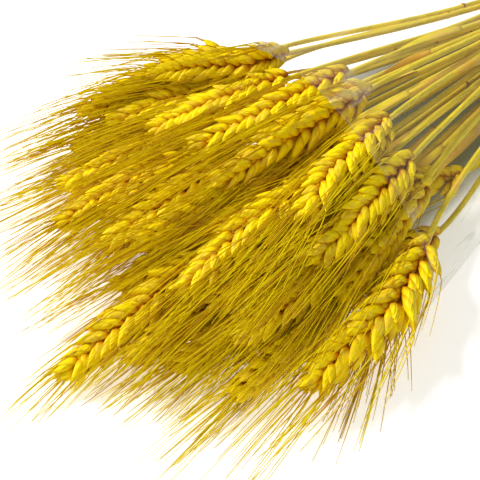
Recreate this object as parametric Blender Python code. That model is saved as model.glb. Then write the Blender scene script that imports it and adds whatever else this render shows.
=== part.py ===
"""A bunch of dried bearded wheat in a clear film sleeve, lying on its side.

The stalks run along Y: their cut ends point to +Y and their ears to -Y. Each stalk is one piece that
grew as one: its stem, its ear and the awns on it. A rubber band holds the stems together, and a
conical sleeve of clear film is wrapped round them as far as the feet of the ears.

Inside this file a place in the bunch is said in three numbers: along (the distance from the band
towards the ears), across (to the side, +X) and height (above the surface that the bunch lies on).
"""

import math
import random

import bmesh
import bpy
import numpy as np
from mathutils import Vector
from mathutils.bvhtree import BVHTree

MM = 0.001
SEED = 11

# Ears that show from above, in mm: across, height and along at the foot, the same at the tip, the
# ear's roll in degrees, 0 where both rows of spikelets show from above, and its fullness in percent
EARS_ON_TOP = (
    (-61, 35, 268, -93, 37, 337, 60, 95),
    (-83, 32, 283, -110, 19, 371, 70, 105),
    (-74, 31, 277, -88, 21, 366, 20, 100),
    (-38, 41, 285, -61, 29, 360, 5, 115),
    (-13, 50, 268, -26, 36, 360, 10, 105),
    (6, 53, 274, -3, 39, 369, 60, 105),
    (7, 35, 292, 16, 23, 383, 20, 100),
    (23, 48, 281, 46, 38, 362, 0, 120),
    (34, 37, 287, 50, 26, 368, 50, 100),
    (43, 38, 288, 56, 25, 370, 30, 110),
    (51, 29, 281, 66, 19, 366, 75, 100),
    (73, 24, 310, 93, 14, 405, 15, 130),
    (57, 20, 328, 57, 10, 410, 30, 95),
    (74, 9, 290, 94, 8, 366, 40, 80),
    (-48, 19, 335, -54, 10, 423, 10, 100),
    (20, 20, 386, 18, 8, 472, 20, 90),
    (37, 16, 360, 28, 9, 445, 50, 100),
    (18, 27, 328, 23, 14, 415, 0, 100),
    (-18, 29, 333, -25, 16, 420, 25, 100),
)
# Ears that lie under those, in the same numbers
EARS_BELOW = (
    (-84, 9, 300, -100, 8, 384, 30, 85),
    (-64, 9, 285, -80, 8, 372, 80, 85),
    (-70, 10, 325, -80, 8, 406, 0, 85),
    (-36, 22, 318, -42, 12, 404, 60, 85),
    (-28, 9, 300, -34, 8, 388, 20, 85),
    (-8, 24, 322, -10, 12, 408, 90, 85),
    (-7, 9, 340, -9, 8, 425, 45, 85),
    (11, 9, 310, 12, 8, 394, 10, 85),
    (28, 22, 325, 36, 12, 410, 70, 85),
    (43, 9, 314, 50, 8, 396, 0, 80),
    (43, 9, 352, 45, 8, 434, 35, 85),
    (62, 13, 346, 72, 8, 426, 85, 85),
    (60, 9, 246, 65, 8, 322, 25, 80),
)

# The ear: its half sizes where it is widest, and the room kept round it
EAR_HALF_WIDTH = 7.6 * MM
EAR_HALF_DEPTH = 6.3 * MM
EAR_ROOM = 8.5 * MM
RACHIS_RADIUS = 3.3 * MM
SPIKELET_PAIRS = 7
SPIKELET_LIP = 2.6 * MM
EAR_POINT = 3 * MM

# How full the ear is along its length: its least share, and the stretch of a sine that it follows
EAR_LEAST = 0.62
EAR_HUMP = (0.12, 0.95)
EAR_FULLNESS = 0.8

# How a spikelet widens from its foot to its tip, where the first one starts (in half steps), and how
# narrow the last one ends
SPIKELET_FLARE = 0.8
SPIKELET_BULGE = 0.62 * math.pi
SPIKELETS_START = 0.3
END_SHARE = 0.35
END_PHASE = 0.4

# The stem
STEM_RADIUS_AT_CUT = 1.5 * MM
STEM_RADIUS_AT_NECK = 1.1 * MM
STEM_TOLERANCE = 0.36 * MM
STEM_SAMPLE = 5 * MM
NECK_MARGIN = 0.1 * MM

# The awns, which are broken off shorter on the ears that reach furthest. Every fourth spikelet has two.
# They lean out by these angles in degrees at the ear's tip and foot, times a spread.
AWN_LENGTH = 52 * MM
AWN_SHORTEST = 26 * MM
AWNS_END_AT = 470 * MM
AWN_RADIUS = 0.42 * MM
TWO_AWNS_EVERY = 4
AWN_LEAN = (5, 13)
AWN_LEAN_SPREAD = (0.8, 1.6)
AWN_SIDEWAYS = 1.5
AWN_LENGTH_SPREAD = (0.8, 1.05)

# An awn's root on its ledge, and the ways that are tried for it, each a little shorter than the last
AWN_SEAT = 0.45
AWN_COLLAR = 0.8 * MM
AWN_GAP = 0.25 * MM
AWNS_APART = 0.8 * MM
AWN_SAMPLE = 2 * MM
AWN_TRIES = 20
AWN_SHORTENING = 0.015

# Where a stalk would run with nothing in its way: its shares of the foot's across and height at the
# band, how much of its spread comes late, and its waves
BOUND_SHARES = (0.12, 0.35)
LATE_SPREAD = 0.55
SWAY = 2.2 * MM
WAVES = 2

# How the stalks lie together. The sleeve holds them as far as a margin past its rim.
CUT_ENDS_AT = -60 * MM
CUT_ENDS_STAGGER = 7 * MM
MIDDLE_HEIGHT = 30 * MM
STATION_STEP = 10 * MM
CLEARANCE = 0.7 * MM
RIM_MARGIN = 14 * MM

# The packing: how hard each round pulls a stalk home, straightens it and pushes it from the others,
# and how fast the first two die out
PACKING_ROUNDS = 600
PULL_HOME = 0.06
STRAIGHTEN = 0.5
PUSH_APART = 0.4
CALMING = 1.3
NEARLY_NONE = 1e-6

# The band
BAND_BORE = 12.6 * MM
BAND_HEIGHT = 15 * MM
BAND_WIDTH = 6 * MM
BAND_THICKNESS = 1.3 * MM
BAND_GAP = 0.3 * MM
BAND_SIDES = 24

# The sleeve, whose rim is cut a little on the slant. Its half widths and heights are those at its tail
# and its rim. It is widest low down, and its squareness is that over and under its widest part.
SLEEVE_FROM = -72 * MM
SLEEVE_RIM = 298 * MM
SLEEVE_SLANT = 0.25
SLEEVE_HALF_WIDTHS = (22 * MM, 91 * MM)
SLEEVE_HEIGHTS = (34 * MM, 63 * MM)
SLEEVE_WIDEST_AT = 0.3
SLEEVE_SQUARENESS = (1.9, 4)
SLEEVE_SIDES = 28
SLEEVE_RINGS = 3
SLEEVE_SETTLE = 0.35 * MM
FILM_THICKNESS = 0.6 * MM
FILM_GAP = 0.5 * MM


class Stalk:
    """One stalk's place in the bunch, before and after the stalks are packed."""

    def __init__(self, ear, draw):
        self.foot = np.array(ear[0:2]) * MM
        self.reach = ear[2] * MM
        self.tip = np.array(ear[3:5]) * MM
        self.end = ear[5] * MM
        self.roll = math.radians(ear[6])
        self.fullness = ear[7] / 100
        self.length = self.end - self.reach
        self.cut = CUT_ENDS_AT + draw.uniform(-CUT_ENDS_STAGGER, CUT_ENDS_STAGGER)
        self.sway = [(draw.uniform(-SWAY, SWAY), draw.uniform(0, math.tau)) for _ in range(2)]
        self.awn_length = min(AWN_LENGTH, max(AWN_SHORTEST, AWNS_END_AT - self.end))

    def wanted(self, along):
        """Across and height where the stalk would run if nothing were in its way."""
        slope = (self.tip - self.foot) / self.length
        if along >= self.reach:
            return self.foot + slope * (along - self.reach)
        bound = np.array([0, BAND_HEIGHT]) + (self.foot - [0, MIDDLE_HEIGHT]) * BOUND_SHARES
        if along <= 0:
            return bound
        t = along / self.reach
        way = bound + (self.foot - bound) * ((1 - LATE_SPREAD) * t + LATE_SPREAD * t * t)
        waves = [size * math.sin(math.tau * WAVES * t + turn) for size, turn in self.sway]
        return way + np.array(waves) * math.sin(math.pi * t) ** 2

    def radius(self, along):
        """Room that the stalk takes round its middle line."""
        if along < self.reach:
            share = (along - CUT_ENDS_AT) / (self.reach - CUT_ENDS_AT)
            return STEM_RADIUS_AT_CUT + (STEM_RADIUS_AT_NECK - STEM_RADIUS_AT_CUT) * share
        return EAR_ROOM * self.fullness * ear_swell((along - self.reach) / self.length)


def ear_swell(share):
    """How full the ear is at a share of its length, 1 at its widest."""
    start, stop = EAR_HUMP
    place = start + (stop - start) * min(1, max(0, share))
    return EAR_LEAST + (1 - EAR_LEAST) * math.sin(math.pi * place) ** EAR_FULLNESS


def between(ends, along):
    """A sleeve size at a distance along, from its sizes at the tail and at the rim."""
    return ends[0] + (ends[1] - ends[0]) * (along - SLEEVE_FROM) / (SLEEVE_RIM - SLEEVE_FROM)


def pack_stalks(stalks):
    """Moves the stalks' middle lines apart, station by station, until each lies clear of the rest,
    over the surface, inside the band and inside the sleeve."""
    last = max(stalk.end for stalk in stalks)
    stations = np.arange(CUT_ENDS_AT - CUT_ENDS_STAGGER, last + 3 * STATION_STEP, STATION_STEP)
    wanted = np.array([[stalk.wanted(s) for s in stations] for stalk in stalks])
    nearby = (-STATION_STEP / 2, 0, STATION_STEP / 2)
    radius = [[max(stalk.radius(s + step) for step in nearby) for s in stations] for stalk in stalks]
    radius = np.array(radius) + CLEARANCE / 2
    there = np.array([[s <= stalk.end + STATION_STEP for s in stations] for stalk in stalks])
    both = there[:, None] & there[None, :] & ~np.eye(len(stalks), dtype=bool)[..., None]
    in_band = np.abs(stations) < BAND_WIDTH + STATION_STEP
    width = between(SLEEVE_HALF_WIDTHS, stations)
    height = between(SLEEVE_HEIGHTS, stations)
    sleeve_middle = np.stack([0 * height, SLEEVE_WIDEST_AT * height], axis=1)
    band_middle = np.array([0, BAND_HEIGHT])
    places = wanted.copy()
    for turn in range(PACKING_ROUNDS):
        calm = max(0, 1 - CALMING * turn / PACKING_ROUNDS)
        places += PULL_HOME * calm * (wanted - places)
        straight = (places[:, :-2] + places[:, 2:]) / 2
        places[:, 1:-1] += STRAIGHTEN * calm * (straight - places[:, 1:-1])
        apart = places[:, None] - places[None, :]
        distance = np.maximum(np.linalg.norm(apart, axis=3), NEARLY_NONE)
        short = np.maximum(radius[:, None] + radius[None, :] - distance, 0) * both
        places += PUSH_APART * (apart * (short / distance)[..., None]).sum(axis=1)
        rim = SLEEVE_RIM + SLEEVE_SLANT * places[..., 0]
        in_sleeve = stations < rim + RIM_MARGIN
        out = places - sleeve_middle
        above = out[..., 1] > 0
        rise = np.where(above, 1 - SLEEVE_WIDEST_AT, SLEEVE_WIDEST_AT) * height
        room = np.stack([width + 0 * rise, rise], axis=2) - radius[..., None] - FILM_THICKNESS - FILM_GAP
        squareness = np.where(above, *SLEEVE_SQUARENESS)
        far = (np.abs(out / room) ** squareness[..., None]).sum(axis=2) ** (1 / squareness)
        pull = np.where(in_sleeve & (far > 1), 1 / np.maximum(far, NEARLY_NONE) - 1, 0)
        places += out * pull[..., None]
        out = places - band_middle
        far = np.linalg.norm(out, axis=2) / (BAND_BORE - radius)
        pull = np.where(in_band[None] & (far > 1), 1 / np.maximum(far, NEARLY_NONE) - 1, 0)
        places += out * pull[..., None]
        floor = np.where(in_sleeve, FILM_THICKNESS + FILM_GAP, 0)
        places[..., 1] = np.maximum(places[..., 1], radius + floor)
    for stalk, line in zip(stalks, places):
        stalk.stations = stations
        stalk.line = line


def point_on(stalk, along):
    """The middle line's point at a distance along, on a smooth curve through the stations."""
    place = (along - stalk.stations[0]) / STATION_STEP
    k = int(min(max(place, 1), len(stalk.stations) - 3))
    t = place - k
    a, b, c, d = (stalk.line[k + step] for step in (-1, 0, 1, 2))
    bend = 2 * a - 5 * b + 4 * c - d + t * (3 * (b - c) + d - a)
    across, height = b + 0.5 * t * (c - a + t * bend)
    return Vector((across, -along, height))


def axes_on(stalk, along):
    """Forward, wide and deep directions of the stalk. The two rows of spikelets lie along wide."""
    step = 2 * MM
    forward = (point_on(stalk, along + step) - point_on(stalk, along - step)).normalized()
    level = forward.cross(Vector((0, 0, 1))).normalized()
    up = level.cross(forward)
    wide = level * math.cos(stalk.roll) + up * math.sin(stalk.roll)
    return forward, wide, forward.cross(wide)


# Corners of an ear's ring: wide and deep as shares of its half sizes, and the row each belongs to
EAR_CORNERS = (
    (1.0, 0.0, 0),
    (0.5, 0.95, 0),
    (-0.5, 0.95, 1),
    (-1.0, 0.0, 1),
    (-0.5, -0.95, 1),
    (0.5, -0.95, 0),
)


def ear_corner(stalk, along, corner, phase, lip):
    """A corner of the ear's ring. Phase runs from 0 at a spikelet's foot to 1 at its tip."""
    wide_share, deep_share, _ = corner
    swell = stalk.fullness * ear_swell((along - stalk.reach) / stalk.length)
    half_width = RACHIS_RADIUS + (EAR_HALF_WIDTH - RACHIS_RADIUS) * phase**SPIKELET_FLARE
    half_depth = RACHIS_RADIUS + (EAR_HALF_DEPTH - RACHIS_RADIUS) * math.sin(SPIKELET_BULGE * phase)
    along += lip * abs(wide_share) ** 2
    _, wide, deep = axes_on(stalk, along)
    out = wide * wide_share * half_width + deep * deep_share * half_depth
    return point_on(stalk, along) + out * swell


def bridge(bm, low, high):
    """Joins two rings of corners, some of which may be the same vertex, and returns the new faces."""
    faces = {}
    for k in range(len(low)):
        n = (k + 1) % len(low)
        corners = [low[k], low[n], high[n], high[k]]
        kept = [v for i, v in enumerate(corners) if v is not corners[i - 1]]
        if len(kept) > 2:
            faces[k] = bm.faces.new(kept)
    return faces


def split_at(bm, face, corner):
    """Cuts a four-sided ledge in two, and returns the triangle that holds the corner."""
    verts = list(face.verts)
    k = verts.index(corner)
    before, after, across = verts[k - 1], verts[(k + 1) % 4], verts[(k + 2) % 4]
    bm.faces.remove(face)
    bm.faces.new((before, after, across))
    return bm.faces.new((before, corner, after))


def bends(stalk, start, stop):
    """Distances along, after start and up to stop, between which the stem is near enough straight."""
    first, last = point_on(stalk, start), point_on(stalk, stop)
    strays = []
    for k in range(1, int((stop - start) / STEM_SAMPLE)):
        middle = start + STEM_SAMPLE * k
        chord = first.lerp(last, (middle - start) / (stop - start))
        strays.append(((chord - point_on(stalk, middle)).length, middle))
    if not strays or max(strays)[0] < STEM_TOLERANCE:
        return [stop]
    turn = max(strays)[1]
    return bends(stalk, start, turn) + bends(stalk, turn, stop)


def grow_stem(bm, stalk):
    """The stem from its cut end to its neck. Returns the ring at the neck."""
    ring = []
    for along in [stalk.cut] + bends(stalk, stalk.cut, stalk.reach):
        _, wide, deep = axes_on(stalk, along)
        radius = stalk.radius(along - NECK_MARGIN)
        turns = [math.radians(60 * corner) for corner in range(6)]
        corners = [wide * math.cos(a) + deep * math.sin(a) for a in turns]
        new = [bm.verts.new(point_on(stalk, along) + corner * radius) for corner in corners]
        if ring:
            bridge(bm, ring, new)
        else:
            bm.faces.new(new[::-1])
        ring = new
    return ring


def grow_ear(bm, stalk, ring):
    """The ear on from the neck's ring, its two rows of spikelets half a step apart. Returns the
    ledges at the spikelets' tips, each with its outermost corner."""
    count = 2 * SPIKELET_PAIRS + 1
    half = stalk.length / count
    ledges = []
    for k in range(count):
        along = stalk.reach + half * (k + SPIKELETS_START)
        ending = k % 2
        phases = [0 if k <= row else (1 if row == ending else 0.5) for row in (0, 1)]
        lips = [SPIKELET_LIP if row == ending and k > 1 else 0 for row in (0, 1)]
        before = [bm.verts.new(ear_corner(stalk, along, c, phases[c[2]], lips[c[2]])) for c in EAR_CORNERS]
        bridge(bm, ring, before)
        ring = before
        if k > 1:
            ring = [
                bm.verts.new(ear_corner(stalk, along, c, 0, 0)) if c[2] == ending else v
                for c, v in zip(EAR_CORNERS, before)
            ]
            faces = bridge(bm, before, ring)
            edge = 3 * ending
            has_two = (k + 1) % TWO_AWNS_EVERY == 0
            sides = (edge, (edge - 1) % 6) if has_two else (edge,)
            ledges += [(split_at(bm, faces[side], before[edge]), before[edge]) for side in sides]
    narrow = [(c[0] * END_SHARE, c[1] * END_SHARE, c[2]) for c in EAR_CORNERS]
    tip = [bm.verts.new(ear_corner(stalk, stalk.end, c, END_PHASE, 0)) for c in narrow]
    bridge(bm, ring, tip)
    cap = bm.faces.new(tip)
    point = bmesh.ops.poke(bm, faces=[cap])["verts"][0]
    point.co = point_on(stalk, stalk.end + EAR_POINT)
    return ledges


def awn_tip(stalk, root, draw, attempt):
    """A try at where an awn ends: out from its spikelet's tip and on beside the ear."""
    along = -root.y
    forward, _, _ = axes_on(stalk, along)
    outward = root - point_on(stalk, along)
    outward = (outward - forward * outward.dot(forward)).normalized()
    left = (stalk.end - along) / stalk.length
    at_tip, at_foot = AWN_LEAN
    lean = math.radians(at_tip + (at_foot - at_tip) * left) * draw.uniform(*AWN_LEAN_SPREAD)
    side = (outward + forward.cross(outward) * draw.uniform(-AWN_SIDEWAYS, AWN_SIDEWAYS)).normalized()
    length = stalk.awn_length * draw.uniform(*AWN_LENGTH_SPREAD) * (1 - AWN_SHORTENING * attempt)
    tip = root + (forward * math.cos(lean) + side * math.sin(lean)) * length
    tip.z = max(tip.z, 2 * AWN_RADIUS)
    return tip


def way_is_clear(points, bodies, awns):
    """Whether an awn at these points stays clear of the surface, the ears and stems and other awns."""
    gap = AWN_RADIUS + AWN_GAP
    for point in points:
        if point.z < gap or any(tree.find_nearest(point, gap)[0] is not None for tree in bodies):
            return False
    if len(awns) == 0:
        return True
    apart = np.array(points)[:, None] - awns[None]
    return np.einsum("ijk,ijk->ij", apart, apart).min() > (2 * AWN_RADIUS + AWNS_APART) ** 2


def grow_awn(bm, ledge, seat, tip):
    """Draws a ledge out into a three-sided needle."""
    centre = sum((v.co for v in ledge.verts), Vector()) / 3
    forward = (tip - seat).normalized()
    face = bmesh.ops.extrude_discrete_faces(bm, faces=[ledge])["faces"][0]
    for v in face.verts:
        spoke = v.co - centre
        spoke = (spoke - forward * spoke.dot(forward)).normalized()
        v.co = seat + forward * AWN_COLLAR + spoke * AWN_RADIUS
    point = bmesh.ops.poke(bm, faces=[face])["verts"][0]
    point.co = tip


def grow_awns(stalks, grown, sleeve):
    """Puts the awns on all ears. One that finds no clear way is left out."""
    draw = random.Random(SEED)
    bodies = [BVHTree.FromBMesh(bm) for bm in [bm for bm, _ in grown] + [sleeve]]
    awns = np.zeros((0, 3))
    for stalk, (bm, ledges) in zip(stalks, grown):
        for ledge, corner in ledges:
            centre = sum((v.co for v in ledge.verts), Vector()) / 3
            root = centre.lerp(corner.co, AWN_SEAT)
            for attempt in range(AWN_TRIES):
                tip = awn_tip(stalk, root, draw, attempt)
                count = int((tip - root).length / AWN_SAMPLE)
                points = [root.lerp(tip, n / count) for n in range(1, count + 1)]
                if way_is_clear(points, bodies, awns):
                    awns = np.vstack([awns, np.array(points)])
                    grow_awn(bm, ledge, root, tip)
                    break


def sleeve_ring(along, slant, inset):
    """A section of the cone on a slant, its underside pressed flat on the surface."""
    widening = (SLEEVE_HALF_WIDTHS[1] - SLEEVE_HALF_WIDTHS[0]) / (SLEEVE_RIM - SLEEVE_FROM)
    ring = []
    for k in range(SLEEVE_SIDES):
        a = math.tau * (k + 0.5) / SLEEVE_SIDES
        power = 2 / SLEEVE_SQUARENESS[math.sin(a) < 0]
        side = math.copysign(abs(math.cos(a)) ** power, math.cos(a))
        rise = math.copysign(abs(math.sin(a)) ** power, math.sin(a))
        x = side * (between(SLEEVE_HALF_WIDTHS, along) - inset) / (1 - side * widening * slant)
        height = between(SLEEVE_HEIGHTS, along + slant * x)
        widest = SLEEVE_WIDEST_AT * height
        z = widest + rise * ((height - widest if rise > 0 else widest) - inset)
        ring.append(Vector((x, -along - slant * x, max(z - SLEEVE_SETTLE, inset))))
    return ring


def grow_sleeve():
    """The film as one thin wall, open at both ends."""
    bm = bmesh.new()
    step = (SLEEVE_RIM - SLEEVE_FROM) / SLEEVE_RINGS
    spots = [(SLEEVE_FROM + step * k, SLEEVE_SLANT * k / SLEEVE_RINGS) for k in range(SLEEVE_RINGS + 1)]
    outer = [[bm.verts.new(p) for p in sleeve_ring(*spot, 0)] for spot in spots]
    inner = [[bm.verts.new(p) for p in sleeve_ring(*spot, FILM_THICKNESS)] for spot in spots]
    for walls in (outer, inner[::-1]):
        for low, high in zip(walls, walls[1:]):
            bridge(bm, low, high)
    bridge(bm, inner[0], outer[0])
    bridge(bm, outer[-1], inner[-1])
    return bm


def grow_band():
    """A flat rubber band round the stems."""
    bm = bmesh.new()
    inside = BAND_BORE + BAND_GAP
    outside = inside + BAND_THICKNESS
    front = BAND_WIDTH / 2
    rings = []
    for radius, along in ((inside, -front), (outside, -front), (outside, front), (inside, front)):
        turns = [math.tau * k / BAND_SIDES for k in range(BAND_SIDES)]
        places = [(math.cos(a) * radius, -along, BAND_HEIGHT + math.sin(a) * radius) for a in turns]
        rings.append([bm.verts.new(place) for place in places])
    for k in range(4):
        bridge(bm, rings[k], rings[(k + 1) % 4])
    return bm


def material(name, colour, roughness):
    made = bpy.data.materials.new(name)
    made.use_nodes = True
    shader = made.node_tree.nodes["Principled BSDF"]
    shader.inputs["Base Color"].default_value = colour
    shader.inputs["Roughness"].default_value = roughness
    shader.inputs["Alpha"].default_value = colour[3]
    return made


def make_object(name, bm, look):
    mesh = bpy.data.meshes.new(name)
    bm.to_mesh(mesh)
    bm.free()
    mesh.materials.append(look)
    made = bpy.data.objects.new(name, mesh)
    bpy.context.scene.collection.objects.link(made)
    return made


def set_on_origin(objects):
    """Moves the bunch so that the origin is under the middle of its box."""
    corners = np.array([v.co for made in objects for v in made.data.vertices])
    middle = (corners.min(axis=0) + corners.max(axis=0)) / 2
    for made in objects:
        made.location = (-middle[0], -middle[1], 0)


def main():
    for old in list(bpy.data.objects):
        bpy.data.objects.remove(old)
    straw = material("dyed straw", (0.86, 0.70, 0.02, 1), 0.55)
    film = material("clear film", (0.92, 0.93, 0.92, 0.3), 0.12)
    rubber = material("rubber", (0.74, 0.60, 0.38, 1), 0.6)
    draw = random.Random(SEED)
    stalks = [Stalk(ear, draw) for ear in EARS_ON_TOP + EARS_BELOW]
    pack_stalks(stalks)
    grown = []
    for stalk in stalks:
        bm = bmesh.new()
        grown.append((bm, grow_ear(bm, stalk, grow_stem(bm, stalk))))
    sleeve = grow_sleeve()
    grow_awns(stalks, grown, sleeve)
    made = [make_object(f"stalk_{k + 1:02d}", bm, straw) for k, (bm, _) in enumerate(grown)]
    made.append(make_object("sleeve", sleeve, film))
    made.append(make_object("band", grow_band(), rubber))
    set_on_origin(made)


main()
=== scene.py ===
"""The looks of a bunch of dyed bearded wheat in a clear film sleeve, lying on its side."""

import math
import random

import bmesh
import bpy
import numpy as np
from mathutils import Matrix, Vector, noise


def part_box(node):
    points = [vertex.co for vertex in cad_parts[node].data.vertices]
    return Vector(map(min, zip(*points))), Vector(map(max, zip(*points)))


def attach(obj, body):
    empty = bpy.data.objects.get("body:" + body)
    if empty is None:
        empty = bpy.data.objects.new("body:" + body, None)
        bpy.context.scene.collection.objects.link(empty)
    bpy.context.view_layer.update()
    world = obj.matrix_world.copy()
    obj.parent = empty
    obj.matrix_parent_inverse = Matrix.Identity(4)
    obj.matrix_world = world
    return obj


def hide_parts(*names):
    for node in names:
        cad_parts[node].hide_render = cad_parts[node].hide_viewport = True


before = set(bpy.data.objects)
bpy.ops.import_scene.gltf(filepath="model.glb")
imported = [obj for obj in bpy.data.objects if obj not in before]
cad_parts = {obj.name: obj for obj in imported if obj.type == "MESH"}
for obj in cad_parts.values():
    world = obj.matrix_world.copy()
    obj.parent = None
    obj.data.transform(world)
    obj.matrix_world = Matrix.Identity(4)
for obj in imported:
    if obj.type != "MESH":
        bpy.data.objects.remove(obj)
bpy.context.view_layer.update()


# How the stalks lie. They run along Y, ears towards -Y, and each lies beside and on the others as they
# settle when the bunch is laid down. A place is said by its distance along (from the band towards the
# ears), across (+X) and height. The rule is the one that the solids follow, so each stalk lies on its own.

MM = 0.001
SEED = 11

# For each ear, in mm: across, height and along at its foot, the same at its tip, then its roll in
# degrees and its fullness in percent. The first 19 show from above, and the rest lie under those.
EARS = (
    (-61, 35, 268, -93, 37, 337, 60, 95),
    (-83, 32, 283, -110, 19, 371, 70, 105),
    (-74, 31, 277, -88, 21, 366, 20, 100),
    (-38, 41, 285, -61, 29, 360, 5, 115),
    (-13, 50, 268, -26, 36, 360, 10, 105),
    (6, 53, 274, -3, 39, 369, 60, 105),
    (7, 35, 292, 16, 23, 383, 20, 100),
    (23, 48, 281, 46, 38, 362, 0, 120),
    (34, 37, 287, 50, 26, 368, 50, 100),
    (43, 38, 288, 56, 25, 370, 30, 110),
    (51, 29, 281, 66, 19, 366, 75, 100),
    (73, 24, 310, 93, 14, 405, 15, 130),
    (57, 20, 328, 57, 10, 410, 30, 95),
    (74, 9, 290, 94, 8, 366, 40, 80),
    (-48, 19, 335, -54, 10, 423, 10, 100),
    (20, 20, 386, 18, 8, 472, 20, 90),
    (37, 16, 360, 28, 9, 445, 50, 100),
    (18, 27, 328, 23, 14, 415, 0, 100),
    (-18, 29, 333, -25, 16, 420, 25, 100),
    (-84, 9, 300, -100, 8, 384, 30, 85),
    (-64, 9, 285, -80, 8, 372, 80, 85),
    (-70, 10, 325, -80, 8, 406, 0, 85),
    (-36, 22, 318, -42, 12, 404, 60, 85),
    (-28, 9, 300, -34, 8, 388, 20, 85),
    (-8, 24, 322, -10, 12, 408, 90, 85),
    (-7, 9, 340, -9, 8, 425, 45, 85),
    (11, 9, 310, 12, 8, 394, 10, 85),
    (28, 22, 325, 36, 12, 410, 70, 85),
    (43, 9, 314, 50, 8, 396, 0, 80),
    (43, 9, 352, 45, 8, 434, 35, 85),
    (62, 13, 346, 72, 8, 426, 85, 85),
    (60, 9, 246, 65, 8, 322, 25, 80),
)
EAR_ROOM = 8.5 * MM
EAR_LEAST = 0.62
EAR_HUMP = (0.12, 0.95)
EAR_FULLNESS = 0.8
STEM_RADIUS_AT_CUT = 1.5 * MM
STEM_RADIUS_AT_NECK = 1.1 * MM
AWN_LENGTH = 52 * MM
AWN_SHORTEST = 26 * MM
AWNS_END_AT = 470 * MM
BOUND_SHARES = (0.12, 0.35)
LATE_SPREAD = 0.55
SWAY = 2.2 * MM
WAVES = 2
CUT_ENDS_AT = -60 * MM
CUT_ENDS_STAGGER = 7 * MM
MIDDLE_HEIGHT = 30 * MM
STATION_STEP = 10 * MM
CLEARANCE = 0.7 * MM
RIM_MARGIN = 14 * MM
PACKING_ROUNDS = 600
PULL_HOME = 0.06
STRAIGHTEN = 0.5
PUSH_APART = 0.4
CALMING = 1.3
NEARLY_NONE = 1e-6
BAND_BORE = 12.6 * MM
BAND_HEIGHT = 15 * MM
BAND_WIDTH = 6 * MM
SLEEVE_FROM = -72 * MM
SLEEVE_RIM = 298 * MM
SLEEVE_SLANT = 0.25
SLEEVE_HALF_WIDTHS = (22 * MM, 91 * MM)
SLEEVE_HEIGHTS = (34 * MM, 63 * MM)
SLEEVE_WIDEST_AT = 0.3
SLEEVE_SQUARENESS = (1.9, 4)
FILM_ROOM = 1.1 * MM

band_low, band_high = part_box("band")
tie = (Vector(band_low) + Vector(band_high)) / 2


class Stalk:
    """One stalk's place in the bunch."""

    def __init__(self, ear, draw):
        self.foot = np.array(ear[0:2]) * MM
        self.reach = ear[2] * MM
        self.tip = np.array(ear[3:5]) * MM
        self.end = ear[5] * MM
        self.roll = math.radians(ear[6])
        self.fullness = ear[7] / 100
        self.length = self.end - self.reach
        self.cut = CUT_ENDS_AT + draw.uniform(-CUT_ENDS_STAGGER, CUT_ENDS_STAGGER)
        self.sway = [(draw.uniform(-SWAY, SWAY), draw.uniform(0, math.tau)) for _ in range(2)]
        self.awn_length = min(AWN_LENGTH, max(AWN_SHORTEST, AWNS_END_AT - self.end))

    def wanted(self, along):
        """Across and height where the stalk would run if nothing were in its way."""
        slope = (self.tip - self.foot) / self.length
        if along >= self.reach:
            return self.foot + slope * (along - self.reach)
        bound = np.array([0, BAND_HEIGHT]) + (self.foot - [0, MIDDLE_HEIGHT]) * BOUND_SHARES
        if along <= 0:
            return bound
        t = along / self.reach
        way = bound + (self.foot - bound) * ((1 - LATE_SPREAD) * t + LATE_SPREAD * t * t)
        waves = [size * math.sin(math.tau * WAVES * t + turn) for size, turn in self.sway]
        return way + np.array(waves) * math.sin(math.pi * t) ** 2

    def radius(self, along):
        """Room that the stalk takes round its middle line."""
        if along < self.reach:
            share = (along - CUT_ENDS_AT) / (self.reach - CUT_ENDS_AT)
            return STEM_RADIUS_AT_CUT + (STEM_RADIUS_AT_NECK - STEM_RADIUS_AT_CUT) * share
        return EAR_ROOM * self.fullness * ear_swell((along - self.reach) / self.length)

    def point(self, along):
        """The middle line's point at a distance along, on a smooth curve through the stations."""
        place = (along - self.stations[0]) / STATION_STEP
        k = int(min(max(place, 1), len(self.stations) - 3))
        t = place - k
        a, b, c, d = (self.line[k + step] for step in (-1, 0, 1, 2))
        bend = 2 * a - 5 * b + 4 * c - d + t * (3 * (b - c) + d - a)
        across, height = b + 0.5 * t * (c - a + t * bend)
        return Vector((across + tie.x, tie.y - along, height))

    def axes(self, along):
        """Forward, wide and deep directions. The two rows of spikelets lie along wide."""
        step = 2 * MM
        forward = (self.point(along + step) - self.point(along - step)).normalized()
        level = forward.cross(Vector((0, 0, 1))).normalized()
        up = level.cross(forward)
        wide = level * math.cos(self.roll) + up * math.sin(self.roll)
        return forward, wide, forward.cross(wide)


def ear_swell(share):
    """How full the ear is at a share of its length, 1 at its widest."""
    start, stop = EAR_HUMP
    place = start + (stop - start) * min(1, max(0, share))
    return EAR_LEAST + (1 - EAR_LEAST) * math.sin(math.pi * place) ** EAR_FULLNESS


def between(ends, along):
    """A sleeve size at a distance along, from its sizes at the tail and at the rim."""
    return ends[0] + (ends[1] - ends[0]) * (along - SLEEVE_FROM) / (SLEEVE_RIM - SLEEVE_FROM)


def pull_in(places, middle, far, where):
    """Draws the places that are too far out back towards a middle."""
    pull = np.where(where & (far > 1), 1 / np.maximum(far, NEARLY_NONE) - 1, 0)
    places += (places - middle) * pull[..., None]


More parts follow.
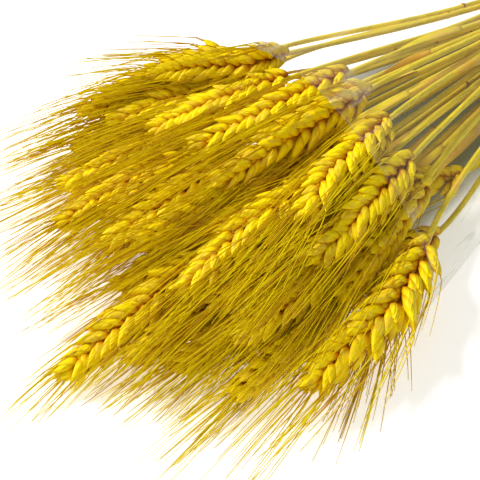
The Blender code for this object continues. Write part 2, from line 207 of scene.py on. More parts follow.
def pack_stalks(stalks):
    """Moves the stalks' middle lines apart, station by station, until each lies clear of the rest."""
    last = max(stalk.end for stalk in stalks)
    stations = np.arange(CUT_ENDS_AT - CUT_ENDS_STAGGER, last + 3 * STATION_STEP, STATION_STEP)
    wanted = np.array([[stalk.wanted(s) for s in stations] for stalk in stalks])
    nearby = (-STATION_STEP / 2, 0, STATION_STEP / 2)
    radius = [[max(stalk.radius(s + step) for step in nearby) for s in stations] for stalk in stalks]
    radius = np.array(radius) + CLEARANCE / 2
    there = np.array([[s <= stalk.end + STATION_STEP for s in stations] for stalk in stalks])
    both = there[:, None] & there[None, :] & ~np.eye(len(stalks), dtype=bool)[..., None]
    in_band = np.abs(stations) < BAND_WIDTH + STATION_STEP
    width = between(SLEEVE_HALF_WIDTHS, stations)
    height = between(SLEEVE_HEIGHTS, stations)
    sleeve_middle = np.stack([0 * height, SLEEVE_WIDEST_AT * height], axis=1)
    band_middle = np.array([0, BAND_HEIGHT])
    places = wanted.copy()
    for turn in range(PACKING_ROUNDS):
        calm = max(0, 1 - CALMING * turn / PACKING_ROUNDS)
        places += PULL_HOME * calm * (wanted - places)
        straight = (places[:, :-2] + places[:, 2:]) / 2
        places[:, 1:-1] += STRAIGHTEN * calm * (straight - places[:, 1:-1])
        apart = places[:, None] - places[None, :]
        distance = np.maximum(np.linalg.norm(apart, axis=3), NEARLY_NONE)
        short = np.maximum(radius[:, None] + radius[None, :] - distance, 0) * both
        places += PUSH_APART * (apart * (short / distance)[..., None]).sum(axis=1)
        rim = SLEEVE_RIM + SLEEVE_SLANT * places[..., 0]
        in_sleeve = stations < rim + RIM_MARGIN
        out = places - sleeve_middle
        above = out[..., 1] > 0
        rise = np.where(above, 1 - SLEEVE_WIDEST_AT, SLEEVE_WIDEST_AT) * height
        room = np.stack([width + 0 * rise, rise], axis=2) - radius[..., None] - FILM_ROOM
        squareness = np.where(above, *SLEEVE_SQUARENESS)
        far = (np.abs(out / room) ** squareness[..., None]).sum(axis=2) ** (1 / squareness)
        pull_in(places, sleeve_middle, far, in_sleeve)
        far = np.linalg.norm(places - band_middle, axis=2) / (BAND_BORE - radius)
        pull_in(places, band_middle, far, in_band[None])
        floor = np.where(in_sleeve, FILM_ROOM, 0)
        places[..., 1] = np.maximum(places[..., 1], radius + floor)
    for stalk, line in zip(stalks, places):
        stalk.stations = stations
        stalk.line = line


draw = random.Random(SEED)
stalks = [Stalk(ear, draw) for ear in EARS]
pack_stalks(stalks)


# The straws: dried, dyed wheat stems, hollow and slightly waved, with a swollen knot where a leaf grew.
# On some the leaf's sheath still wraps the straw above its knot, and ends in a narrow dry blade. Dye
# leaves them paler than the ears, and the sheaths more orange. Fine fibres run along them.

STEM_SIDES = 10
STEM_STEP = 4 * MM
STEM_SWELL = 1.25
LAST_SPIKELET_BACK = 8 * MM
KNOT_FROM_EAR = (110, 240)
KNOT_LENGTH = 3.2 * MM
KNOT_SWELL = 0.42
KNOT_SHARPNESS = 0.35
KNOT_RINGS = (-0.5, -0.25, 0, 0.25, 0.5)
SHEATHED = 0.6
SHEATH_LENGTH = (45, 100)
SHEATH_SWELL = 0.32
SHEATH_TONE = -0.45
SHEATH_LIP = 1 * MM
LEAF_LENGTH = (35, 80)
LEAF_HALF_WIDTH = 2.6 * MM
LEAF_STEPS = 14
LEAF_LIFT = 2.0 * MM
LEAF_THICKNESS = 0.2 * MM
LEAF_TURN = (0.2, 0.8)
LEAF_TWIST = 1.2
LEAF_TONE = (-0.5, 0.3)
LEAF_ARCH = 0.4
LEAF_FOLD = 0.35
# The blade's outline is this stretch of half a sine, to this power
LEAF_STRETCH = (0.18, 0.8)
LEAF_POWER = 0.7
STRAW_BODY = "F6DC20"
STRAW_PALE = "FBF29A"
STRAW_ORANGE = "F0B800"
STRAW_OLIVE = "D0BC20"
KNOT_BROWN = "A8701A"


def srgb(code):
    """A hex sRGB colour as the linear one that a shader takes."""
    parts = [int(code[k:k + 2], 16) / 255 for k in (0, 2, 4)]
    return [c / 12.92 if c <= 0.04045 else ((c + 0.055) / 1.055) ** 2.4 for c in parts] + [1]


def add(tree, kind, inputs=(), stops=(), **settings):
    """Adds a shader node. An input takes a value or another node's output."""
    made = tree.nodes.new(kind)
    for name, value in settings.items():
        setattr(made, name, value)
    for name, value in dict(inputs).items():
        if isinstance(value, bpy.types.NodeSocket):
            tree.links.new(value, made.inputs[name])
        else:
            made.inputs[name].default_value = value
    for k, (place, code) in enumerate(stops):
        if k > 1:
            made.color_ramp.elements.new(place)
        made.color_ramp.elements[k].position = place
        made.color_ramp.elements[k].color = srgb(code)
    return made


def new_material(name):
    """A material with its own empty node tree, and the tree's output node."""
    made = bpy.data.materials.new(name)
    made.use_nodes = True
    made.node_tree.nodes.clear()
    return made, made.node_tree, made.node_tree.nodes.new("ShaderNodeOutputMaterial")


def fresh_bmesh():
    """An empty bmesh whose vertices say where on their own piece they are: x is across, from -1 to 1,
    y runs from foot to tip, and z is the piece's tone."""
    bm = bmesh.new()
    bm.verts.layers.float_vector.new("place")
    return bm


def drawn_on(bm, edges):
    """Extrudes edges. Returns the new vertices and edges in the old ones' order."""
    made = bmesh.ops.extrude_edge_only(bm, edges=edges)["geom"]
    ring = [v for v in made if isinstance(v, bmesh.types.BMVert)]
    return ring, [e for e in made if isinstance(e, bmesh.types.BMEdge)]


def grow_stem(bm, stalk, draw):
    """Adds the straw, with a knot on it, and the rachis that it runs on as. Returns its sheath's end."""
    layer = bm.verts.layers.float_vector["place"]
    knot = stalk.reach - draw.uniform(*KNOT_FROM_EAR) * MM
    sheath = draw.uniform(*SHEATH_LENGTH) * MM * (draw.random() < SHEATHED)
    tone = draw.random()
    stop = stalk.end - LAST_SPIKELET_BACK
    count = int((stop - stalk.cut) / STEM_STEP)
    places = [stalk.cut + (stop - stalk.cut) * k / count for k in range(count + 1)]
    places += [knot + KNOT_LENGTH * share for share in KNOT_RINGS]
    places = sorted(places + [knot + sheath, knot + sheath + SHEATH_LIP])
    ring = bmesh.ops.create_circle(bm, cap_ends=True, segments=STEM_SIDES, radius=1)["verts"]
    edges = [edge for edge in bm.edges if edge.verts[0] in ring]
    turns = [math.tau * k / STEM_SIDES for k in range(STEM_SIDES)]
    for k, along in enumerate(places):
        if k:
            ring, edges = drawn_on(bm, edges)
        _, wide, deep = stalk.axes(along)
        middle = stalk.point(along)
        near_knot = math.exp(-((along - knot) / (KNOT_SHARPNESS * KNOT_LENGTH)) ** 2)
        wrapped = knot < along <= knot + sheath
        swell = STEM_SWELL * (1 + KNOT_SWELL * near_knot + SHEATH_SWELL * wrapped)
        radius = stalk.radius(min(along, stalk.reach - MM)) * swell
        for v, a in zip(ring, turns):
            v.co = middle + (wide * math.cos(a) + deep * math.sin(a)) * radius
            v[layer] = (near_knot, (along - stalk.cut) / (stop - stalk.cut), tone + SHEATH_TONE * wrapped)
    return knot + sheath if sheath else None


def grow_leaf(bm, stalk, start, draw):
    """Adds the dry blade at a sheath's end. It is folded along its rib and lies beside its straw."""
    layer = bm.verts.layers.float_vector["place"]
    length = min(draw.uniform(*LEAF_LENGTH) * MM, stalk.reach - start)
    turn = draw.uniform(*LEAF_TURN) * math.pi
    twist = draw.uniform(-LEAF_TWIST, LEAF_TWIST)
    tone = draw.uniform(*LEAF_TONE)
    ring = [bm.verts.new() for _ in range(3)]
    edges = [bm.edges.new(pair) for pair in zip(ring, ring[1:])]
    faces = set(bm.faces)
    for k in range(LEAF_STEPS + 1):
        if k:
            ring, edges = drawn_on(bm, edges)
        share = k / LEAF_STEPS
        forward, wide, deep = stalk.axes(start + length * share)
        level = forward.cross(Vector((0, 0, 1))).normalized()
        above = level.cross(forward)
        a = turn + twist * share
        lift = level * math.cos(turn) + above * math.sin(turn)
        across = level * math.sin(a) - above * math.cos(a)
        out = level * math.cos(a) + above * math.sin(a)
        rise = LEAF_LIFT * (1 - LEAF_ARCH + LEAF_ARCH * math.sin(math.pi * share))
        middle = stalk.point(start + length * share) + lift * rise
        place = LEAF_STRETCH[0] + LEAF_STRETCH[1] * share
        half = LEAF_HALF_WIDTH * math.sin(math.pi * place) ** LEAF_POWER
        for v, side in zip(ring, (-1, 0, 1)):
            v.co = middle + across * side * half + out * LEAF_FOLD * half * abs(side)
            v[layer] = (0, share, tone)
    fresh = [face for face in bm.faces if face not in faces]
    bmesh.ops.solidify(bm, geom=fresh, thickness=LEAF_THICKNESS)


straw, tree, out = new_material("dyed straw")
where = add(tree, "ShaderNodeAttribute", attribute_name="place")
parts = add(tree, "ShaderNodeSeparateXYZ", {"Vector": where.outputs["Vector"]})
spot = add(tree, "ShaderNodeTexCoord")
# Fibres are about 0.3 mm wide and run for 15 mm or so
stretched = add(tree, "ShaderNodeMapping", {"Vector": spot.outputs["Object"], "Scale": (1600, 60, 1600)})
fibres = add(tree, "ShaderNodeTexNoise", {"Vector": stretched.outputs[0], "Scale": 1, "Detail": 3})
blotches = add(tree, "ShaderNodeTexNoise", {"Vector": spot.outputs["Object"], "Scale": 45, "Detail": 2})
mixed = add(tree, "ShaderNodeMath", {0: fibres.outputs["Fac"], 1: blotches.outputs["Fac"]}, operation="ADD")
shifted = add(tree, "ShaderNodeMath", {0: parts.outputs["Z"], 1: 0.5, 2: mixed.outputs[0]},
              operation="MULTIPLY_ADD")
tint = add(tree, "ShaderNodeMapRange", {"Value": shifted.outputs[0], "From Min": 0.6, "From Max": 1.75})
colour = add(tree, "ShaderNodeValToRGB", {"Fac": tint.outputs[0]},
             stops=[(0.0, STRAW_ORANGE), (1.0, STRAW_PALE), (0.3, STRAW_BODY), (0.62, STRAW_OLIVE),
                    (0.7, STRAW_BODY)])
knotted = add(tree, "ShaderNodeMix", {0: parts.outputs["X"], 6: colour.outputs[0], 7: srgb(KNOT_BROWN)},
              data_type="RGBA")
bump = add(tree, "ShaderNodeBump", {"Height": fibres.outputs["Fac"], "Strength": 0.4, "Distance": 0.1 * MM})
shader = add(tree, "ShaderNodeBsdfPrincipled", {
    "Base Color": knotted.outputs[2], "Roughness": 0.45, "Specular IOR Level": 0.3,
    "Normal": bump.outputs[0]})
tree.links.new(shader.outputs[0], out.inputs[0])


# The spikelets: papery husks folded round the grains, in two rows on the ear's rachis, each row a half
# step from the other. Each spikelet has two keeled glumes outside and three florets inside. Their colour
# is painted paler where the vein noise raises the bump and the tone runs high, a painted highlight, and
# gathers to amber towards each husk's foot, partly the dye's amber and partly painted shade.

SPIKELETS = 19
RACHIS_ROOM = -0.3 * MM
HUSK_SIDES = 8
HUSK_RINGS = 8
HUSK_FOOT_POWER = 0.5
HUSK_TIP_POWER = 0.95
KEEL = 0.4
KEEL_SHARPNESS = 6
HUSK_CURVE = 0.32
# For each husk of a spikelet: how far up the spikelet, to the side and out its foot is, how far it
# splays to the side and leans out in degrees, its length, half width and half thickness, and how far
# its keel is turned to the side
HUSKS = (
    (0.0, -1.6, 0.6, -19, 9, 9.4, 2.7, 1.5, -0.75),
    (0.0, 1.6, 0.6, 19, 9, 9.4, 2.7, 1.5, 0.75),
    (1.6, -1.3, 0.4, -13, 1, 12.0, 2.9, 1.7, -0.5),
    (1.6, 1.3, 0.4, 13, 1, 12.0, 2.9, 1.7, 0.5),
    (3.0, -0.4, -0.8, -5, -10, 11.4, 2.7, 1.6, -0.2),
    (3.6, 0.2, 1.4, 3, 6, 10.4, 2.7, 1.6, 0.1),
)
HUSK_SPLAY_SPREAD = (-4, 4)
HUSK_LEAN_SPREAD = (-4, 5)
HUSK_LENGTH_SPREAD = (0.9, 1.08)
# A spikelet's lean in degrees at the ear's foot and tip, and its size, which grows with the fullness
SPIKELET_LEAN = (33, 17)
SPIKELET_LEAN_SPREAD = 5
SPIKELET_SIZE = (0.9, 0.39)
SPIKELET_SIZE_SPREAD = (0.92, 1.06)
LAST_SPIKELET_SIZE = 0.72
GLUME_HAS_AWN = 0.35
HUSK_BODY = "FADC00"
# Painted highlight: the palest husk colour, where the tone and the vein noise run high
HUSK_PAINTED_HIGHLIGHT = "FFF45A"
# Partly the dye's amber, partly painted shade at the husks' feet
HUSK_AMBER_AND_PAINTED_SHADE = "C47400"
HUSK_OLIVE = "E8BC00"


def husk_template():
    """A husk of length, half width and half thickness 1: its foot at the origin, its tip up +Z, its
    keel to +Y."""
    bm = fresh_bmesh()
    layer = bm.verts.layers.float_vector["place"]
    bmesh.ops.create_uvsphere(bm, u_segments=HUSK_SIDES, v_segments=HUSK_RINGS, radius=1)
    widest = HUSK_FOOT_POWER / (HUSK_FOOT_POWER + HUSK_TIP_POWER)
    fullest = widest**HUSK_FOOT_POWER * (1 - widest) ** HUSK_TIP_POWER
    for v in bm.verts:
        way = (v.co.z + 1) / 2
        level = math.hypot(v.co.x, v.co.y)
        girth = 0
        if level > NEARLY_NONE:
            girth = way**HUSK_FOOT_POWER * (1 - way) ** HUSK_TIP_POWER / fullest / level
        across, out = v.co.x * girth, v.co.y * girth
        ridge = max(0, v.co.y / max(level, NEARLY_NONE)) ** KEEL_SHARPNESS
        v[layer] = (across, way, 0)
        v.co = Vector((across, out * (1 + KEEL * ridge) - HUSK_CURVE * way * way, way))
    made = bpy.data.meshes.new("husk")
    for face in bm.faces:
        face.smooth = True
        face.material_index = 1
    bm.to_mesh(made)
    bm.free()
    return made


def plant(bm, template, tone):
    """Adds a copy of a template and returns its vertices."""
    layer = bm.verts.layers.float_vector["place"]
    first = len(bm.verts)
    bm.from_mesh(template)
    bm.verts.ensure_lookup_table()
    fresh = bm.verts[first:]
    for v in fresh:
        v[layer] = (v[layer].x, v[layer].y, tone)
    return fresh


def grow_spikelet(bm, foot, axis, outward, size, draw):
    """Adds one spikelet's husks. Returns where each awn grows, with its direction."""
    tangent = axis.cross(outward)
    roots = []
    for up, aside, off, splay, lean, length, width, thickness, turn in HUSKS:
        base = foot + (axis * up + tangent * aside + outward * off) * size * MM
        splay = math.radians(splay + draw.uniform(*HUSK_SPLAY_SPREAD))
        lean = math.radians(lean + draw.uniform(*HUSK_LEAN_SPREAD))
        along = axis + tangent * math.tan(splay) + outward * math.tan(lean)
        along.normalize()
        keel = outward * math.sqrt(1 - turn * turn) + tangent * turn
        keel = (keel - along * keel.dot(along)).normalized()
        across = keel.cross(along)
        length *= size * draw.uniform(*HUSK_LENGTH_SPREAD) * MM
        matrix = Matrix.Identity(4)
        sides = (across * width * size * MM, keel * thickness * size * MM, along * length)
        for k, column in enumerate(sides):
            matrix.col[k].xyz = column
        matrix.translation = base
        fresh = plant(bm, templates["husk"], draw.random())
        bmesh.ops.transform(bm, matrix=matrix, verts=fresh)
        if up or draw.random() < GLUME_HAS_AWN:
            tip = matrix @ Vector((0, -HUSK_CURVE, 1))
            roots.append((tip, along))
    return roots


def grow_ear(bm, stalk, draw):
    """Adds the spikelets, row by row up the ear. Returns where each awn grows, with its direction."""
    roots = []
    for k in range(SPIKELETS + 1):
        share = k / SPIKELETS
        along = stalk.reach + (stalk.length - LAST_SPIKELET_BACK) * share
        forward, wide, deep = stalk.axes(along)
        if k == SPIKELETS:
            lean, outward, full = 0, deep, LAST_SPIKELET_SIZE
        else:
            full = SPIKELET_SIZE[0] + SPIKELET_SIZE[1] * stalk.fullness
            lean = SPIKELET_LEAN[0] + (SPIKELET_LEAN[1] - SPIKELET_LEAN[0]) * share
            lean = math.radians(lean + draw.uniform(-1, 1) * SPIKELET_LEAN_SPREAD)
            outward = wide * (-1) ** k
        axis = forward * math.cos(lean) + outward * math.sin(lean)
        out = outward * math.cos(lean) - forward * math.sin(lean)
        size = full * ear_swell(share) * draw.uniform(*SPIKELET_SIZE_SPREAD)
        foot = stalk.point(along) + outward * RACHIS_ROOM
        found = grow_spikelet(bm, foot, axis, out, size, draw)
        swing = draw.uniform(-AWN_SWING, AWN_SWING)
        roots += [(tip, way, along, share, swing) for tip, way in found]
    return roots


husk, tree, out = new_material("dyed wheat husk")
where = add(tree, "ShaderNodeAttribute", attribute_name="place")
parts = add(tree, "ShaderNodeSeparateXYZ", {"Vector": where.outputs["Vector"]})
spot = add(tree, "ShaderNodeTexCoord")
# Veins run from a husk's foot to its tip, about 0.8 mm apart
veins_place = add(tree, "ShaderNodeMapping", {"Vector": where.outputs["Vector"], "Scale": (3.8, 0.5, 23)})
veins = add(tree, "ShaderNodeTexNoise", {"Vector": veins_place.outputs[0], "Scale": 1, "Detail": 2})
blotches = add(tree, "ShaderNodeTexNoise", {"Vector": spot.outputs["Object"], "Scale": 160, "Detail": 3})
toned = add(tree, "ShaderNodeMath", {0: parts.outputs["Z"], 1: 0.35, 2: blotches.outputs["Fac"]},
            operation="MULTIPLY_ADD")
# Painted highlight: the vein noise lightens the colour where it also raises the bump
veins_and_painted_highlight = add(tree, "ShaderNodeMath", {0: veins.outputs["Fac"], 1: 1.1, 2: toned.outputs[0]},
             operation="MULTIPLY_ADD")
light = add(tree, "ShaderNodeMapRange", {"Value": veins_and_painted_highlight.outputs[0], "From Min": 0.85, "From Max": 1.55})
body = add(tree, "ShaderNodeValToRGB", {"Fac": light.outputs[0]},
           stops=[(0.0, HUSK_OLIVE), (1.0, HUSK_PAINTED_HIGHLIGHT), (0.35, HUSK_BODY)])
# Amber from each husk's foot to under half its length: partly the dye's colour, partly painted shade
foot_amber_and_painted_shade = add(tree, "ShaderNodeValToRGB", {"Fac": parts.outputs["Y"]},
             stops=[(0.16, "FFFFFF"), (0.46, "000000")])
mixed = add(tree, "ShaderNodeMix", {0: foot_amber_and_painted_shade.outputs[0], 6: body.outputs[0], 7: srgb(HUSK_AMBER_AND_PAINTED_SHADE)},
            data_type="RGBA")
bump = add(tree, "ShaderNodeBump", {"Height": veins.outputs["Fac"], "Strength": 1, "Distance": 1.2 * MM})
shader = add(tree, "ShaderNodeBsdfPrincipled", {
    "Base Color": mixed.outputs[2], "Roughness": 0.5, "Specular IOR Level": 0.15,
    "Normal": bump.outputs[0]})
tree.links.new(shader.outputs[0], out.inputs[0])


# The awns: stiff bristles, one from the tip of each floret. They run on beside the ear, curve back
# towards its line, and lie over the neighbours that they meet. Dye takes on them in gold and lemon.

AWN_SIDES = 3
AWN_SEGMENTS = 9
AWN_RADII = (0.36 * MM, 0.14 * MM)
AWN_LEAN = (6, 1.5)
AWN_SWING = 0.9
AWN_SCATTER = 0.3
AWN_LEAN_SPREAD = (0.5, 1.7)
AWN_LENGTH_SPREAD = (0.7, 1.1)
AWN_LENGTH_BY_PLACE = (0.85, 0.2)
AWN_SINK = 1.2 * MM
AWN_DROOP = 2.5 * MM
EAR_CLEAR = 7.0 * MM
EAR_SAMPLES = 12
PUSH_ROUNDS = 3
ROOT_HOLDS = 4
AWN_AMBER = "C89000"
AWN_OLIVE = "D4AA00"
AWN_BODY = "ECD400"
AWN_PALE = "F6E850"


def awn_template():
    """An awn of length 1 and radius 1, up +Z, with rings that a line's points can take."""
    bm = fresh_bmesh()
    layer = bm.verts.layers.float_vector["place"]
    bmesh.ops.create_cone(bm, cap_ends=True, segments=AWN_SIDES, radius1=1, radius2=1, depth=1)
    long = [e for e in bm.edges if abs(e.verts[0].co.z - e.verts[1].co.z) > 0.5]
    bmesh.ops.subdivide_edges(bm, edges=long, cuts=AWN_SEGMENTS - 1, use_grid_fill=True)
    for v in bm.verts:
        v.co.z += 0.5
        v[layer] = (v.co.x, v.co.z, 0)
    made = bpy.data.meshes.new("awn")
    for face in bm.faces:
        face.smooth = True
        face.material_index = 2
    bm.to_mesh(made)
    bm.free()
    return made


def ear_guards(stalks):
    """Points on the ears' middle lines, and the room round each that other ears' awns keep out of."""
    shares = [(k + 0.5) / EAR_SAMPLES for k in range(EAR_SAMPLES)]
    spots = [stalk.point(stalk.reach + stalk.length * share) for stalk in stalks for share in shares]
    rooms = [EAR_CLEAR * stalk.fullness * ear_swell(share) for stalk in stalks for share in shares]
    return np.array(spots), np.array(rooms)


def awn_line(stalk, root, heading, along, share, swing, draw):
    """The points of one awn, bent off the ears that it would cross and off the surface."""
    forward, _, _ = stalk.axes(along)
    outward = root - stalk.point(along)
    outward = (outward - forward * outward.dot(forward)).normalized()
    swing += draw.uniform(-AWN_SCATTER, AWN_SCATTER)
    side = (outward + forward.cross(outward) * swing).normalized()
    first, last = (math.radians(angle) * draw.uniform(*AWN_LEAN_SPREAD) for angle in AWN_LEAN)
    length = stalk.awn_length * draw.uniform(*AWN_LENGTH_SPREAD)
    length *= AWN_LENGTH_BY_PLACE[0] + AWN_LENGTH_BY_PLACE[1] * share
    spot = root - heading * AWN_SINK
    line = [spot]
    for k in range(AWN_SEGMENTS):
        lean = first + (last - first) * k / AWN_SEGMENTS
        step = forward * math.cos(lean) + side * math.sin(lean)
        if k == 0:
            step = (step + heading).normalized()
        spot = spot + step * length / AWN_SEGMENTS
        line.append(spot)
    points = np.array(line)
    way = np.linspace(0, 1, AWN_SEGMENTS + 1)
    points[:, 2] -= AWN_DROOP * draw.uniform(0, 1) * way**2
    for _ in range(PUSH_ROUNDS):
        apart = points[:, None] - guard_spots[None]
        distance = np.maximum(np.linalg.norm(apart, axis=2), NEARLY_NONE)
        depth = guard_rooms[None] - distance
        depth[:, own_guard[id(stalk)]] = 0
        worst = depth.argmax(axis=1)
        rows = np.arange(len(points))
        push = apart[rows, worst] / distance[rows, worst, None] * np.maximum(depth[rows, worst], 0)[:, None]
        push[1:-1] = (push[:-2] + 2 * push[1:-1] + push[2:]) / 4
        points += push * np.minimum(1, way * ROOT_HOLDS)[:, None]
    radii = AWN_RADII[0] + (AWN_RADII[1] - AWN_RADII[0]) * way
    points[:, 2] = np.maximum(points[:, 2], radii + LOWEST)
    return points, radii


def grow_awn(bm, points, radii, tone):
    """Adds an awn along a line of points."""
    ahead = Vector(points[-1] - points[0]).normalized()
    aside = ahead.orthogonal().normalized()
    above = ahead.cross(aside)
    for v in plant(bm, templates["awn"], tone):
        k = round(v.co.z * AWN_SEGMENTS)
        v.co = Vector(points[k]) + (aside * v.co.x + above * v.co.y) * float(radii[k])


awn, tree, out = new_material("dyed wheat awn")
where = add(tree, "ShaderNodeAttribute", attribute_name="place")
parts = add(tree, "ShaderNodeSeparateXYZ", {"Vector": where.outputs["Vector"]})
spot = add(tree, "ShaderNodeTexCoord")
blotches = add(tree, "ShaderNodeTexNoise", {"Vector": spot.outputs["Object"], "Scale": 60, "Detail": 2})
toned = add(tree, "ShaderNodeMath", {0: parts.outputs["Z"], 1: 0.8, 2: blotches.outputs["Fac"]},
            operation="MULTIPLY_ADD")
light = add(tree, "ShaderNodeMapRange", {"Value": toned.outputs[0], "From Min": 0.4, "From Max": 1.3})
colour = add(tree, "ShaderNodeValToRGB", {"Fac": light.outputs[0]},
             stops=[(0.0, AWN_AMBER), (1.0, AWN_PALE), (0.25, AWN_OLIVE), (0.6, AWN_BODY)])
shader = add(tree, "ShaderNodeBsdfPrincipled", {
    "Base Color": colour.outputs[0], "Roughness": 0.5, "Specular IOR Level": 0.15})
tree.links.new(shader.outputs[0], out.inputs[0])

LOWEST = 0.1 * MM
templates = {"husk": husk_template(), "awn": awn_template()}
guard_spots, guard_rooms = ear_guards(stalks)
own_guard = {id(stalk): slice(k * EAR_SAMPLES, (k + 1) * EAR_SAMPLES) for k, stalk in enumerate(stalks)}


def make_piece(name, bm, materials):
    """A finished piece from a bmesh, at the origin."""
    mesh = bpy.data.meshes.new(name)
    bm.to_mesh(mesh)
    bm.free()
    for look in materials:
        mesh.materials.append(look)
    made = bpy.data.objects.new(name, mesh)
    bpy.context.scene.collection.objects.link(made)
    return made


for number, stalk in enumerate(stalks, start=1):
    draw = random.Random(SEED + number)
    bm = fresh_bmesh()
    sheath_end = grow_stem(bm, stalk, draw)
    if sheath_end:
        grow_leaf(bm, stalk, sheath_end, draw)
    for face in bm.faces:
        face.smooth = len(face.verts) < STEM_SIDES
    for root in grow_ear(bm, stalk, draw):
        grow_awn(bm, *awn_line(stalk, *root, draw), draw.random())
    for v in bm.verts:
        v.co.z = max(v.co.z, LOWEST)
    piece = make_piece(f"wheat_{number:02d}", bm, (straw, husk, awn))
    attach(piece, "root")
    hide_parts(f"stalk_{number:02d}")


# The rubber band: one strand wound three times round the straws, under the sleeve.

STRAND_RADIUS = 0.65 * MM
STRAND_TURNS = 3
STRAND_PITCH = 1.9 * MM
STRAND_SIDES = 10
STEPS_A_TURN = 48
RUBBER_TAN = "B98B4A"

bm = bmesh.new()
profile = bmesh.ops.create_circle(bm, cap_ends=True, segments=STRAND_SIDES, radius=STRAND_RADIUS)
middle = Vector((tie.x, tie.y - STRAND_TURNS * STRAND_PITCH / 2, BAND_HEIGHT))
ring_radius = (band_high[0] - band_low[0]) / 2 - STRAND_RADIUS
bmesh.ops.translate(bm, verts=bm.verts, vec=middle + Vector((ring_radius, 0, 0)))
steps = STEPS_A_TURN * STRAND_TURNS
bmesh.ops.spin(bm, geom=bm.verts[:] + bm.edges[:] + bm.faces[:], cent=middle, axis=(0, 1, 0),
               dvec=(0, STRAND_TURNS * STRAND_PITCH / steps, 0), angle=math.tau * STRAND_TURNS, steps=steps)
bmesh.ops.recalc_face_normals(bm, faces=bm.faces)
for face in bm.faces:
    face.smooth = len(face.verts) == 4

rubber, tree, out = new_material("natural rubber")
spot = add(tree, "ShaderNodeTexCoord")
grain = add(tree, "ShaderNodeTexNoise", {"Vector": spot.outputs["Object"], "Scale": 900, "Detail": 2})
colour = add(tree, "ShaderNodeValToRGB", {"Fac": grain.outputs["Fac"]},
             stops=[(0.3, "A87C3E"), (0.7, RUBBER_TAN)])
bump = add(tree, "ShaderNodeBump", {"Height": grain.outputs["Fac"], "Strength": 0.3, "Distance": 0.05 * MM})
shader = add(tree, "ShaderNodeBsdfPrincipled", {
    "Base Color": colour.outputs[0], "Roughness": 0.6, "Normal": bump.outputs[0]})
tree.links.new(shader.outputs[0], out.inputs[0])
piece = make_piece("rubber_band", bm, (rubber,))
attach(piece, "root")
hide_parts("band")


# The sleeve: clear film, wrapped round the straws as a cone and cut on a slant at the rim. It lies
# flat where the bunch's weight presses it down, and there it is tinted a dark olive-grey, painted shade
# for the dark between the straws. Elsewhere a film this thin shows only by its creases, its gloss and a
# grey veil, and the crests of its folds are painted paler, a painted highlight.

SLEEVE_SETTLE = 0.35 * MM
FILM_RIM = SLEEVE_RIM + 8 * MM
FILM_SIDES = 200
FILM_ROWS = 120
FILM_THICKNESS = 0.12 * MM
CREASE_HEIGHT = 1.2 * MM
CREASE_SHARES = (0.62, 0.38)
CREASE_SHARPNESS = 2.4
CREASE_AT_SIDES = 0.35
FOLDS_ROUND = 5.5
FOLDS_ALONG = 2.2
CRUMPLES_ROUND = 10.45
CRUMPLES_ALONG = 9
FILM_LOWEST = 0.05 * MM
FILM_VEIL = "D2D2CA"
FILM_CLEAR = "FDFDFC"
# Painted shade: the tint of the film's bottom strip, which darkens the floor seen between the straws
FILM_PAINTED_SHADE = "B0AC8C"


def film_point(turn, share):
    """Where the film is at a turn round the cone and a share of its way from tail to rim."""
    slant = SLEEVE_SLANT * share
    along = SLEEVE_FROM + (FILM_RIM - SLEEVE_FROM) * share
    widening = (SLEEVE_HALF_WIDTHS[1] - SLEEVE_HALF_WIDTHS[0]) / (SLEEVE_RIM - SLEEVE_FROM)
    power = 2 / SLEEVE_SQUARENESS[math.sin(turn) < 0]
    side = math.copysign(abs(math.cos(turn)) ** power, math.cos(turn))
    rise = math.copysign(abs(math.sin(turn)) ** power, math.sin(turn))
    spot = Vector((math.cos(turn) * FOLDS_ROUND, math.sin(turn) * FOLDS_ROUND, share * FOLDS_ALONG))
    round_fine = CRUMPLES_ROUND * math.cos(turn), CRUMPLES_ROUND * math.sin(turn)
    fine = Vector((*round_fine, share * CRUMPLES_ALONG))
    fold = 1 - abs(noise.noise(spot)) * CREASE_SHARPNESS
    crumple = 1 - abs(noise.noise(fine)) * CREASE_SHARPNESS
    lift = CREASE_HEIGHT * (CREASE_SHARES[0] * fold + CREASE_SHARES[1] * crumple)
    lift *= max(0, CREASE_AT_SIDES + (1 - CREASE_AT_SIDES) * rise)
    half_width = between(SLEEVE_HALF_WIDTHS, along)
    x = side * (half_width + lift * abs(side)) / (1 - side * widening * slant)
    high = between(SLEEVE_HEIGHTS, along + slant * x)
    widest = SLEEVE_WIDEST_AT * high
    z = widest + rise * ((high - widest if rise > 0 else widest) + lift * abs(rise))
    place = Vector((x + tie.x, tie.y - along - slant * x, max(z - SLEEVE_SETTLE, FILM_LOWEST)))
    return place, Vector((max(fold, 0), share, rise))


bm = fresh_bmesh()
layer = bm.verts.layers.float_vector["place"]
bmesh.ops.create_cone(bm, cap_ends=False, segments=FILM_SIDES, radius1=1, radius2=1, depth=1)
long = [e for e in bm.edges if abs(e.verts[0].co.z - e.verts[1].co.z) > 0.5]
bmesh.ops.subdivide_edges(bm, edges=long, cuts=FILM_ROWS, use_grid_fill=True)
for v in bm.verts:
    v.co, v[layer] = film_point(math.atan2(v.co.y, v.co.x), v.co.z + 0.5)
bmesh.ops.recalc_face_normals(bm, faces=bm.faces)
for face in bm.faces:
    face.smooth = True

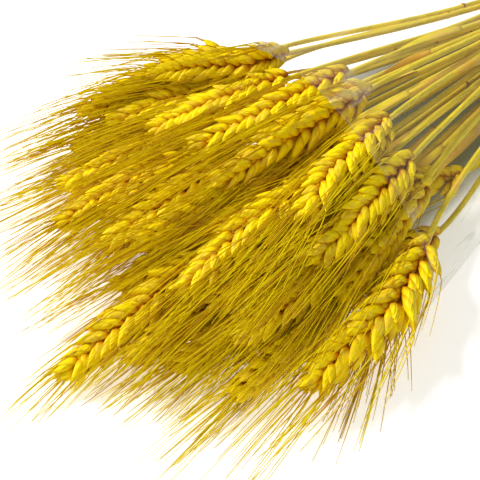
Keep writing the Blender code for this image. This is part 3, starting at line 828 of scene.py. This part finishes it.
film, tree, out = new_material("clear film")
where = add(tree, "ShaderNodeAttribute", attribute_name="place")
parts = add(tree, "ShaderNodeSeparateXYZ", {"Vector": where.outputs["Vector"]})
facing = add(tree, "ShaderNodeLayerWeight", {"Blend": 0.5})
edge_on = add(tree, "ShaderNodeMath", {0: facing.outputs["Facing"], 1: 4}, operation="POWER")
spot = add(tree, "ShaderNodeTexCoord")
stretched = add(tree, "ShaderNodeMapping", {"Vector": spot.outputs["Object"], "Scale": (60, 14, 60)})
haze = add(tree, "ShaderNodeTexNoise", {"Vector": stretched.outputs[0], "Scale": 1, "Detail": 4})
veil = add(tree, "ShaderNodeMapRange", {"Value": haze.outputs["Fac"], "From Min": 0.3, "From Max": 0.75,
                                        "To Min": 0.01, "To Max": 0.035})
# Painted highlight: more of the pale veil along the crests of the folds
crest_painted_highlight = add(tree, "ShaderNodeMapRange", {"Value": parts.outputs["X"], "From Min": 0.9, "From Max": 1.0,
                                         "To Min": 0.0, "To Max": 0.12})
seen = add(tree, "ShaderNodeMath", {0: edge_on.outputs[0], 1: 0.2, 2: veil.outputs[0]},
           operation="MULTIPLY_ADD")
seen = add(tree, "ShaderNodeMath", {0: seen.outputs[0], 1: crest_painted_highlight.outputs[0]}, operation="ADD",
           use_clamp=True)
# Painted shade: the film's bottom strip is tinted dark olive-grey
depth = add(tree, "ShaderNodeMapRange", {"Value": parts.outputs["Z"], "From Min": -0.984, "From Max": -0.934})
clear_to_painted_shade = add(tree, "ShaderNodeValToRGB", {"Fac": depth.outputs[0]}, stops=[(0, FILM_PAINTED_SHADE), (1, FILM_CLEAR)])
clear = add(tree, "ShaderNodeBsdfTransparent", {"Color": clear_to_painted_shade.outputs[0]})
gloss = add(tree, "ShaderNodeBsdfPrincipled", {"Base Color": srgb(FILM_VEIL), "Roughness": 0.16})
both = add(tree, "ShaderNodeMixShader", {0: seen.outputs[0], 1: clear.outputs[0], 2: gloss.outputs[0]})
tree.links.new(both.outputs[0], out.inputs[0])
piece = make_piece("film_sleeve", bm, (film,))
wall = piece.modifiers.new("thickness", "SOLIDIFY")
wall.thickness = FILM_THICKNESS
wall.offset = -1
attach(piece, "root")
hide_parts("sleeve")


# The studio: a plain pale floor, soft light from above and the left, and the photograph's camera.

FLOOR_SIZE = 6
FLOOR_WHITE = "FAFAF8"
FLOOR_GLOW = 0.5
WORLD_LIGHT = 0.36
CAMERA_TURN = 47.55
CAMERA_RISE = 46
CAMERA_DISTANCE = 417.6 * MM
CAMERA_LENS = 69
CAMERA_TARGET = (17.6 * MM, -370.5 * MM, 21.75 * MM)

bpy.ops.mesh.primitive_plane_add(size=FLOOR_SIZE, location=(0, 0, 0))
floor = bpy.context.object
floor.name = "floor"
paper, tree, out = new_material("white paper")
shader = add(tree, "ShaderNodeBsdfPrincipled", {
    "Base Color": srgb(FLOOR_WHITE), "Roughness": 0.9, "Emission Color": srgb(FLOOR_WHITE),
    "Emission Strength": FLOOR_GLOW})
tree.links.new(shader.outputs[0], out.inputs[0])
floor.data.materials.append(paper)

scene = bpy.context.scene
world = bpy.data.worlds.new("studio")
world.use_nodes = True
world.node_tree.nodes["Background"].inputs["Color"].default_value = (1, 1, 1, 1)
world.node_tree.nodes["Background"].inputs["Strength"].default_value = WORLD_LIGHT
scene.world = world
scene.view_settings.view_transform = "Standard"

turn = math.radians(CAMERA_TURN)
rise = math.radians(CAMERA_RISE)
ahead = Vector((-math.sin(turn) * math.cos(rise), math.cos(turn) * math.cos(rise), -math.sin(rise)))
target = Vector(CAMERA_TARGET) + Vector((tie.x, tie.y, 0))
camera = bpy.data.objects.new("camera", bpy.data.cameras.new("camera"))
camera.data.lens = CAMERA_LENS
camera.data.clip_start = 0.01
camera.location = target - ahead * CAMERA_DISTANCE
camera.rotation_euler = ahead.to_track_quat("-Z", "Y").to_euler()
scene.collection.objects.link(camera)
scene.camera = camera


def softbox(name, place, size, power):
    """A square area light that faces the bunch."""
    lamp = bpy.data.lights.new(name, "AREA")
    lamp.size = size
    lamp.energy = power
    made = bpy.data.objects.new(name, lamp)
    made.location = Vector(place)
    made.rotation_euler = (target - made.location).to_track_quat("-Z", "Y").to_euler()
    scene.collection.objects.link(made)


softbox("key", (-0.9, -0.6, 1.1), 0.35, 25)
softbox("fill", (0.9, -0.9, 0.8), 0.9, 3)
